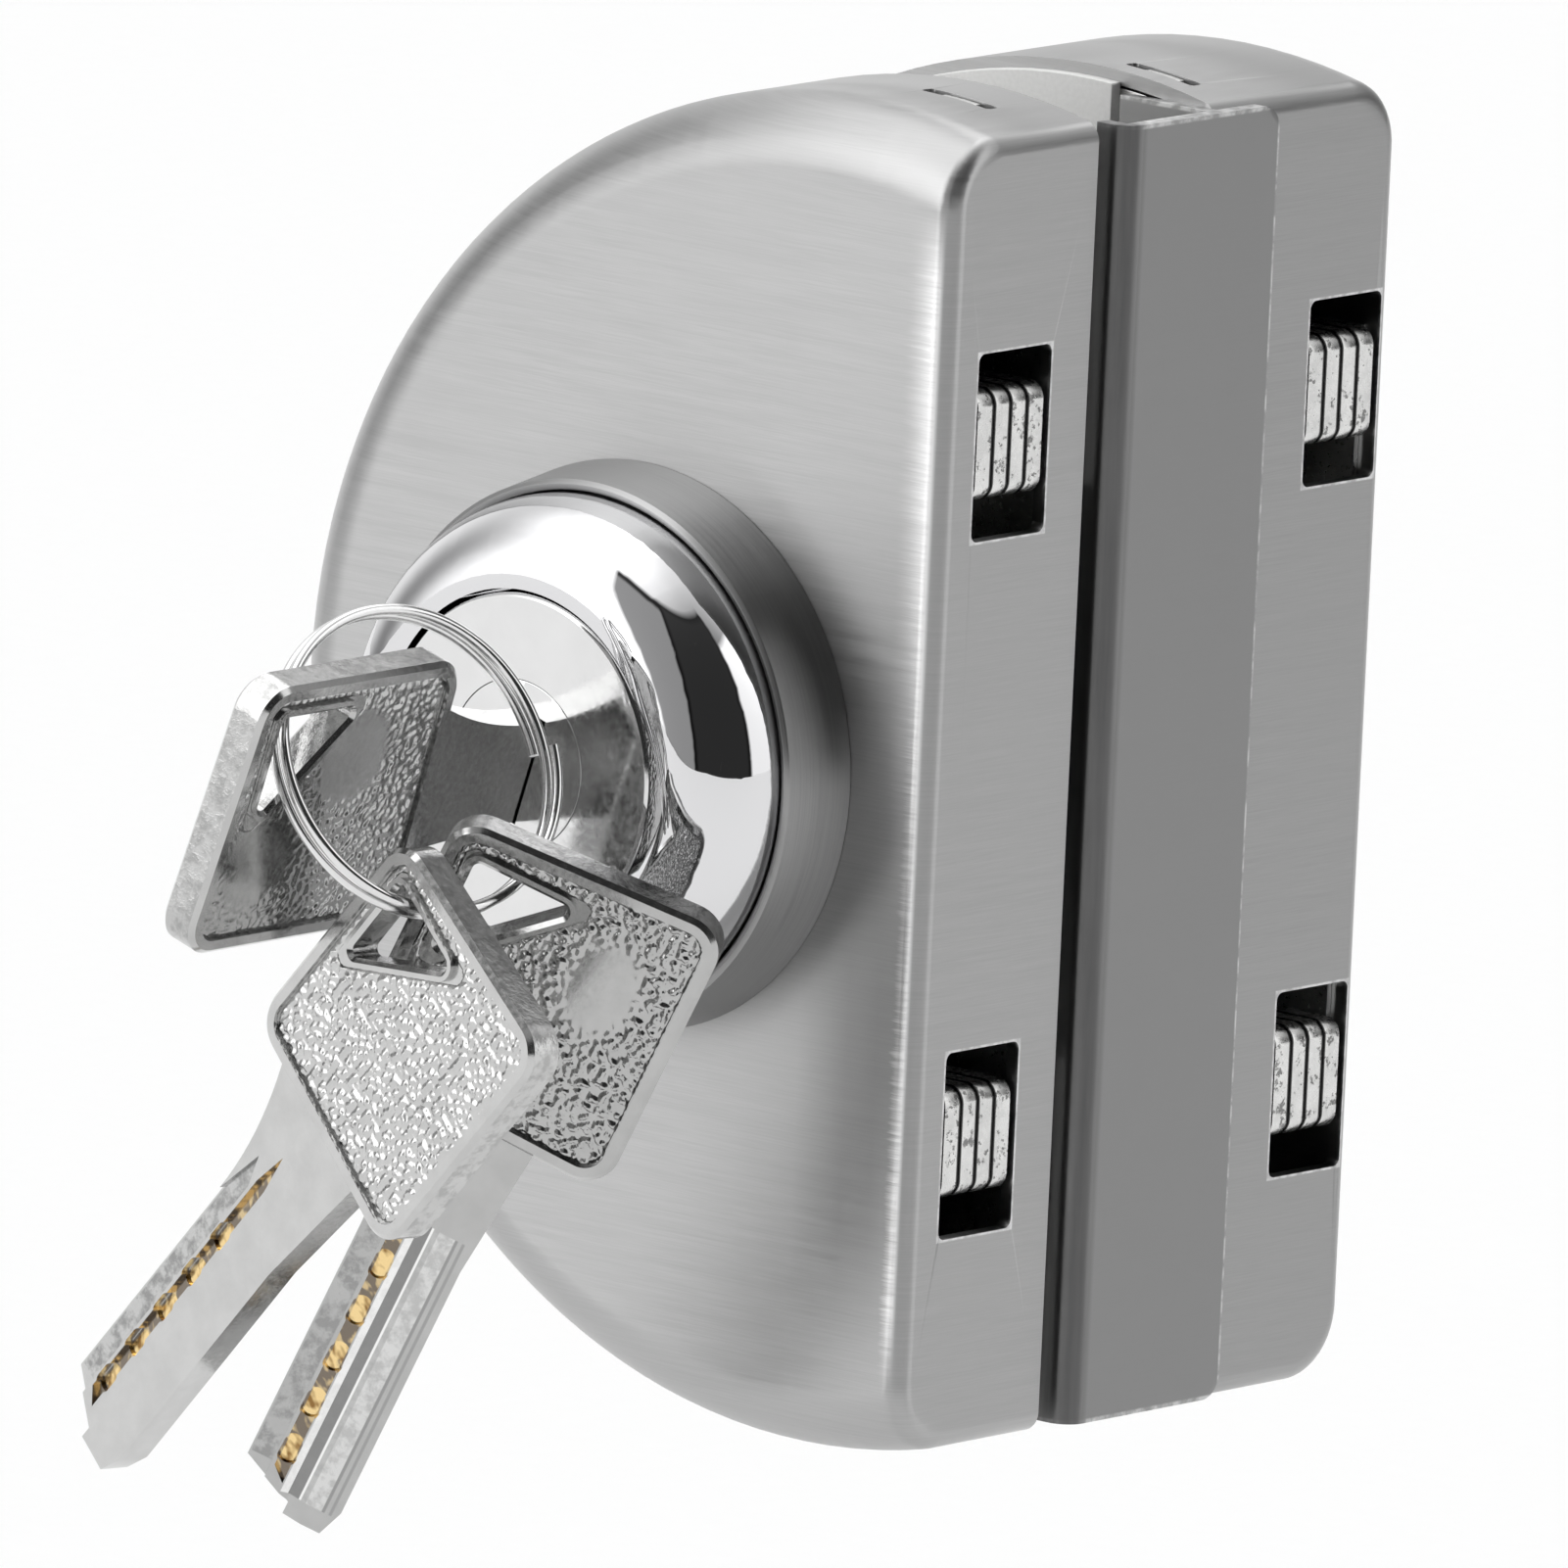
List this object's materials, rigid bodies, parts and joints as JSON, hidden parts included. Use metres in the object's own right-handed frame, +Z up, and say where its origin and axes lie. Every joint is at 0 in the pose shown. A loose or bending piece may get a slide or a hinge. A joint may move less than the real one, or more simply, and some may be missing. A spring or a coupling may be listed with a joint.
{
  "type": "glass cabinet door lock",
  "caption": "Half-moon lock in two halves that clamp a glass door's edge: key cylinder in front, thumbturn behind, sliding bolts in the flat side, keys on a split ring.",
  "frame": {"origin": "on the mid-plane of the glass, at the centre of the covers' arc", "axes": "+X towards the flat side that the bolts leave by, -Y out of the key side, +Y towards the thumbturn, +Z up"},
  "size_m": [0.0686, 0.1236, 0.1148],
  "materials": {
    "satin_cover": "satin brushed stainless, grain along the width",
    "satin_strip": "satin brushed stainless, grain along the length",
    "turned_rose": "turned and brushed stainless",
    "polished_chrome": "polished",
    "plated_steel": "bright zinc plate",
    "dark_steel": "oiled hardened steel",
    "steel_screw": "bright zinc plate",
    "soft_gasket": "translucent grey, matt",
    "cylinder_metal": "nickel plated, brushed face",
    "pin_brass": "bare brass",
    "key_metal": "nickel plated, with bare brass cuts",
    "ring_wire": "bright spring steel"
  },
  "bodies": {
    "lock_body": {"front_cover": "satin_cover", "rear_cover": "satin_cover", "front_base_plate": "plated_steel", "rear_base_plate": "plated_steel", "front_gasket": "soft_gasket", "rear_gasket": "soft_gasket", "cover_screws": "steel_screw", "front_guide_pads": "plated_steel", "front_guide_posts": "steel_screw", "rear_guide_pads": "plated_steel", "rear_guide_posts": "steel_screw", "thumbturn_rose": "satin_cover", "clamp_posts": "steel_screw", "clamp_screws": "steel_screw", "edge_strip": "satin_strip", "edge_strip_screws": "steel_screw", "rose_ring": "turned_rose", "chrome_dome": "polished_chrome", "cylinder_body": "cylinder_metal", "driver_pins": "pin_brass", "cylinder_nut": "pin_brass"},
    "plug": {"cylinder_plug": "cylinder_metal", "key_pins": "pin_brass", "front_cam": "dark_steel", "spindle": "dark_steel", "rear_cam": "dark_steel", "thumbturn": "satin_cover", "thumbturn_clip": "dark_steel"},
    "front_bolt": {"front_bolt_plates": "plated_steel", "front_drive_plate": "plated_steel", "front_bolt_rivets": "steel_screw", "front_drive_spacers": "steel_screw"},
    "rear_bolt": {"rear_bolt_plates": "plated_steel", "rear_drive_plate": "plated_steel", "rear_bolt_rivets": "steel_screw"},
    "key": {"key_inserted": "key_metal"},
    "ring": {"split_ring": "ring_wire"},
    "front_key": {"hanging_key_front": "key_metal"},
    "rear_key": {"hanging_key_rear": "key_metal"}
  },
  "joints": [
    {"name": "key_turn", "type": "hinge", "parent": "lock_body", "child": "plug", "pos_m": [-0.017, 0, 0], "axis": [0, 1, 0], "range_deg": [0, 90]},
    {"name": "front_bolt_slide", "type": "slide", "parent": "lock_body", "child": "front_bolt", "axis": [1, 0, 0], "range_m": [0, 0.012]},
    {"name": "rear_bolt_slide", "type": "slide", "parent": "lock_body", "child": "rear_bolt", "axis": [1, 0, 0], "range_m": [0, 0.012]},
    {"name": "key_withdraw", "type": "slide", "parent": "plug", "child": "key", "axis": [0, -1, 0], "range_m": [0, 0.03]},
    {"name": "ring_swing", "type": "hinge", "parent": "key", "child": "ring", "pos_m": [-0.01539, -0.06876, 0.00515], "axis": [0.3957, -0.2789, -0.875], "range_deg": [-5, 5]},
    {"name": "front_key_swing", "type": "hinge", "parent": "ring", "child": "front_key", "pos_m": [-0.007, -0.06169, -0.00741], "axis": [0.3484, 0.9061, -0.2398], "range_deg": [-15, 5]},
    {"name": "rear_key_swing", "type": "hinge", "parent": "ring", "child": "rear_key", "pos_m": [-0.00533, -0.05432, -0.00717], "axis": [0.0721, 0.9506, 0.3019], "range_deg": [-15, 8]}
  ],
  "couplings": [
    {"joint": "front_bolt_slide", "follows": "key_turn", "m_per_rad": 0.0076394},
    {"joint": "rear_bolt_slide", "follows": "key_turn", "m_per_rad": 0.0076394}
  ]
}
